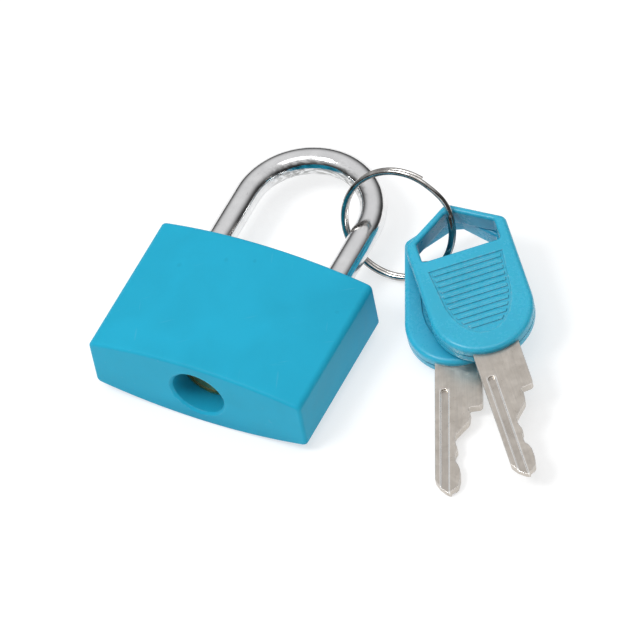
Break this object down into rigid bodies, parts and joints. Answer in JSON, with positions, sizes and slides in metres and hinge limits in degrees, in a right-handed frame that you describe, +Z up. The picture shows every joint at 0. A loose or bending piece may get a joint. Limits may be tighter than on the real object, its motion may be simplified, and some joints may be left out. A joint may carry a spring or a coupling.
{
  "type": "padlock",
  "caption": "Small moulded-jacket padlock, closed, lying on its back, with a split ring and two plastic-headed keys on its shackle.",
  "frame": {"origin": "centre of the whole part's bounding box at the surface it lies on", "axes": "+Z up out of the padlock's front face, +Y from the keyway end towards the shackle bow, +X from the heel leg towards the toe leg and the keys"},
  "size_m": [0.0704, 0.0492, 0.0171],
  "materials": {
    "jacket_plastic": "fine satin moulded plastic",
    "brass": "machined",
    "steel": "turned",
    "chrome": "bright plated steel",
    "spring_steel": "drawn wire",
    "nickel_wire": "nickel-plated flattened wire",
    "key_plastic": "satin moulded plastic",
    "key_nickel": "nickel-plated blade, satin"
  },
  "bodies": {
    "body": {"cover_jacket": "jacket_plastic", "lock_body": "brass", "heel_retaining_pin": "steel", "plug_retaining_pin": "steel", "bolt_bore_plug": "brass", "chamber_plug_1": "brass", "chamber_plug_2": "brass", "chamber_plug_3": "brass", "chamber_plug_4": "brass"},
    "shackle": {"shackle": "chrome", "shackle_spring": "spring_steel"},
    "cylinder": {"cylinder_plug": "brass", "drive_cam": "steel"},
    "latch": {"latch_bolt": "steel"},
    "ring": {"split_ring": "nickel_wire"},
    "key_1": {"key_1_head": "key_plastic", "key_1_blade": "key_nickel"},
    "key_2": {"key_2_head": "key_plastic", "key_2_blade": "key_nickel"},
    "key_pin_1": {"key_pin_1": "brass"},
    "driver_pin_1": {"driver_pin_1": "steel", "pin_spring_1": "spring_steel"},
    "key_pin_2": {"key_pin_2": "brass"},
    "driver_pin_2": {"driver_pin_2": "steel", "pin_spring_2": "spring_steel"},
    "key_pin_3": {"key_pin_3": "brass"},
    "driver_pin_3": {"driver_pin_3": "steel", "pin_spring_3": "spring_steel"},
    "key_pin_4": {"key_pin_4": "brass"},
    "driver_pin_4": {"driver_pin_4": "steel", "pin_spring_4": "spring_steel"}
  },
  "joints": [
    {"name": "shackle_lift", "type": "slide", "parent": "body", "child": "shackle", "axis": [0, 1, 0], "range_m": [0, 0.0105], "deforming": ["shackle_spring"]},
    {"name": "plug_turn", "type": "hinge", "parent": "body", "child": "cylinder", "pos_m": [-0.01742, -0.02073, 0.0066], "axis": [0, -1, 0], "range_deg": [-180, 0]},
    {"name": "latch_slide", "type": "slide", "parent": "body", "child": "latch", "axis": [1, 0, 0], "range_m": [0, 0.0016]},
    {"name": "ring_swing", "type": "hinge", "parent": "shackle", "child": "ring", "pos_m": [-0.00727, 0.01197, 0.0066], "axis": [0, -1, 0], "range_deg": [-90, 120]},
    {"name": "key_1_swing", "type": "hinge", "parent": "ring", "child": "key_1", "pos_m": [0.0057, 0.0128, 0.00544], "axis": [0.0482, -0.1024, 0.9936], "range_deg": [-6, 75]},
    {"name": "key_2_swing", "type": "hinge", "parent": "ring", "child": "key_2", "pos_m": [0.00628, 0.0149, 0.0095], "axis": [0.0482, -0.1024, 0.9936], "range_deg": [-28, 75]},
    {"name": "key_pin_1_slide", "type": "slide", "parent": "cylinder", "child": "key_pin_1", "axis": [1, 0, 0], "range_m": [0, 0.00245]},
    {"name": "driver_pin_1_slide", "type": "slide", "parent": "body", "child": "driver_pin_1", "axis": [1, 0, 0], "range_m": [0, 0.002], "stiffness_N_per_m": 60, "springref_m": -0.002, "deforming": ["pin_spring_1"]},
    {"name": "key_pin_2_slide", "type": "slide", "parent": "cylinder", "child": "key_pin_2", "axis": [1, 0, 0], "range_m": [0, 0.0006]},
    {"name": "driver_pin_2_slide", "type": "slide", "parent": "body", "child": "driver_pin_2", "axis": [1, 0, 0], "range_m": [0, 0.002], "stiffness_N_per_m": 60, "springref_m": -0.002, "deforming": ["pin_spring_2"]},
    {"name": "key_pin_3_slide", "type": "slide", "parent": "cylinder", "child": "key_pin_3", "axis": [1, 0, 0], "range_m": [0, 0.0005]},
    {"name": "driver_pin_3_slide", "type": "slide", "parent": "body", "child": "driver_pin_3", "axis": [1, 0, 0], "range_m": [0, 0.002], "stiffness_N_per_m": 60, "springref_m": -0.002, "deforming": ["pin_spring_3"]},
    {"name": "key_pin_4_slide", "type": "slide", "parent": "cylinder", "child": "key_pin_4", "axis": [1, 0, 0], "range_m": [0, 0.0004]},
    {"name": "driver_pin_4_slide", "type": "slide", "parent": "body", "child": "driver_pin_4", "axis": [1, 0, 0], "range_m": [0, 0.002], "stiffness_N_per_m": 60, "springref_m": -0.002, "deforming": ["pin_spring_4"]}
  ],
  "couplings": [
    {"joint": "plug_turn", "follows": "latch_slide", "rad_per_m": -1963.5}
  ]
}
